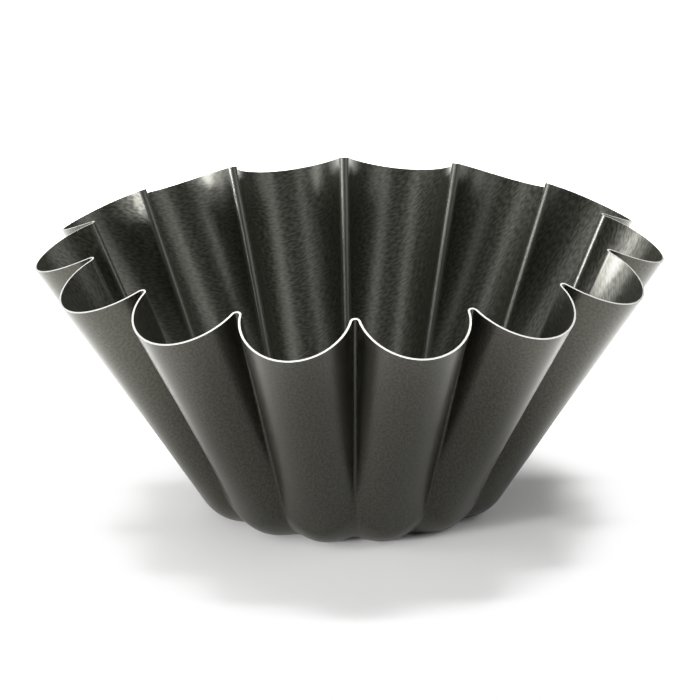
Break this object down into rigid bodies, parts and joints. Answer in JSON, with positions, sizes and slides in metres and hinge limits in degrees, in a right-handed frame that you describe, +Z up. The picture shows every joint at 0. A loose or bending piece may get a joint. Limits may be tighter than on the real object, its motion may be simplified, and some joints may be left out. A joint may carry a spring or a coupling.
{
  "type": "brioche mould",
  "caption": "Round fluted brioche mould in pressed sheet steel with a dark non-stick coating, a flat base and a plain cut rim.",
  "frame": {"origin": "centre of the flat underside, in the plane the mould stands on", "axes": "+Z up through the open mouth; +X through the crown of a flute; +Y through a crease between two flutes"},
  "size_m": [0.2, 0.196, 0.089],
  "materials": {
    "bare_steel": "bright cut edge",
    "outer_nonstick": "smooth satin coating",
    "inner_nonstick": "satin coating with a fine brushed grain"
  },
  "bodies": {
    "root": {"steel_shell": "bare_steel", "outer_coating": "outer_nonstick", "inner_coating": "inner_nonstick"}
  },
  "joints": []
}
